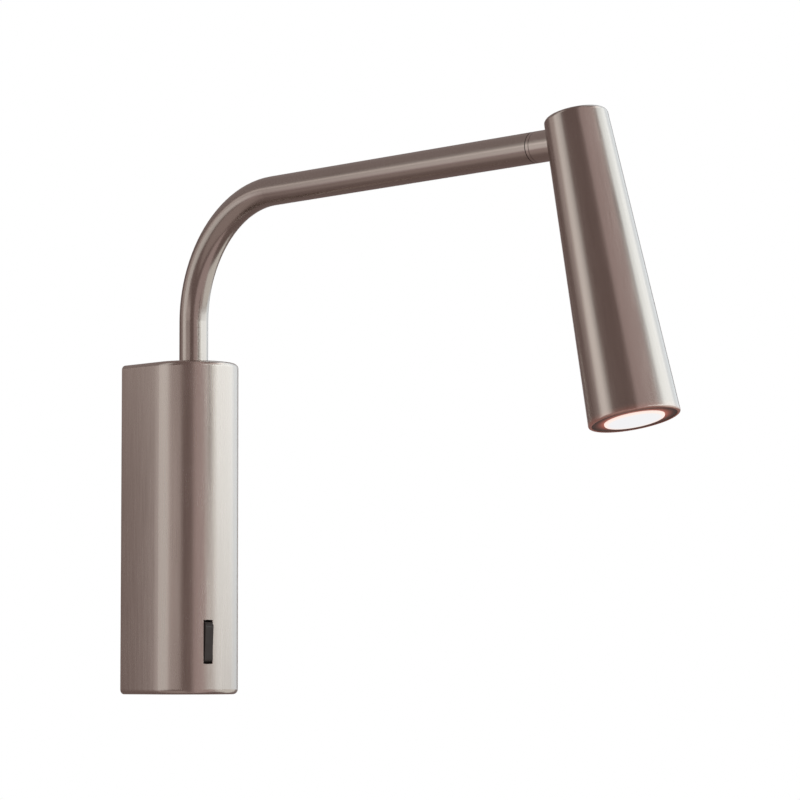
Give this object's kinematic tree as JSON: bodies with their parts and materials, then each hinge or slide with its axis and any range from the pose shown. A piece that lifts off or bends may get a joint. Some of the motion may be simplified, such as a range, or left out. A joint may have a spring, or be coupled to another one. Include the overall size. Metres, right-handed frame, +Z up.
{
  "type": "wall reading lamp",
  "caption": "Bedside wall reading lamp: D-shaped wall body with a rocker switch, bent swivel arm and a tilting conical LED head.",
  "frame": {"origin": "middle of the back face, on the wall", "axes": "+Y into the wall, -Y out along the arm, +Z up, +X to the right seen from the front"},
  "size_m": [0.0436, 0.3336, 0.2525],
  "materials": {
    "satin_nickel": "finely brushed warm nickel plating",
    "satin_nickel_steel": "finely brushed warm nickel plating on steel",
    "zinc_plate": "zinc-plated pressed steel",
    "screw_steel": "plated screw steel",
    "machined_brass": "machined brass",
    "cast_zinc": "plain die-cast alloy",
    "bare_aluminium": "bare machined aluminium",
    "black_plastic": "satin black moulding",
    "dark_nylon": "dark nylon",
    "white_plastic": "white flame-proof moulding",
    "grey_rubber": "soft grommet rubber",
    "lead_jacket": "thin smooth lead jacket",
    "board_white": "white solder mask on an aluminium board",
    "led_phosphor": "yellow phosphor dome",
    "bright_reflector": "vacuum-plated reflector",
    "lit_diffuser": "frosted lens, lit warm white",
    "dark_bezel": "dark bronze satin lacquer"
  },
  "bodies": {
    "wall_body": {"wall_plate": "zinc_plate", "cable_grommet": "grey_rubber", "body_shell": "satin_nickel", "shell_screws": "screw_steel", "led_driver": "white_plastic", "driver_screws": "screw_steel", "earth_screw": "screw_steel", "terminal_block": "white_plastic", "terminal_screws": "machined_brass", "driver_lead": "lead_jacket", "switch_body": "black_plastic", "switch_terminals": "machined_brass", "switch_pin": "screw_steel", "swivel_bush": "machined_brass", "bush_screws": "screw_steel", "stop_pin": "screw_steel"},
    "rocker": {"switch_rocker": "black_plastic"},
    "arm": {"arm_tube": "satin_nickel_steel", "load_ring": "screw_steel", "spring_washer": "screw_steel", "stop_collar": "zinc_plate", "collar_grub_screw": "screw_steel", "tube_grommet": "grey_rubber", "arm_lead": "lead_jacket", "roll_spigot": "machined_brass", "roll_stop_pin": "screw_steel", "roll_clip": "screw_steel", "seam_washer": "dark_nylon"},
    "collar": {"seam_ring": "satin_nickel_steel", "head_collar": "satin_nickel_steel", "knuckle": "satin_nickel_steel"},
    "head": {"head_shell": "satin_nickel", "hinge_fork": "cast_zinc", "hinge_screw": "screw_steel", "hinge_nut": "screw_steel", "hinge_washers": "screw_steel", "fork_screws": "screw_steel", "tie_rod": "machined_brass", "heat_sink": "bare_aluminium", "led_board": "board_white", "led_chip": "led_phosphor", "board_screws": "screw_steel", "reflector": "bright_reflector", "lens": "lit_diffuser", "bezel_ring": "dark_bezel", "head_lead": "lead_jacket"}
  },
  "joints": [
    {"name": "arm_swivel", "type": "hinge", "parent": "wall_body", "child": "arm", "pos_m": [0, -0.0284, 0.08], "axis": [0, 0, 1], "range_deg": [-90, 90]},
    {"name": "head_roll", "type": "hinge", "parent": "arm", "child": "collar", "pos_m": [0, -0.2592, 0.1586], "axis": [0, -1, 0], "range_deg": [-160, 160]},
    {"name": "head_tilt", "type": "hinge", "parent": "collar", "child": "head", "pos_m": [0, -0.286, 0.1586], "axis": [-0.9999, 0, -0.014], "range_deg": [-30, 45]},
    {"name": "rocker_tilt", "type": "hinge", "parent": "wall_body", "child": "rocker", "pos_m": [-0.00635, -0.04556, -0.055], "axis": [-0.9379, 0.3469, 0], "range_deg": [0, 12]}
  ]
}
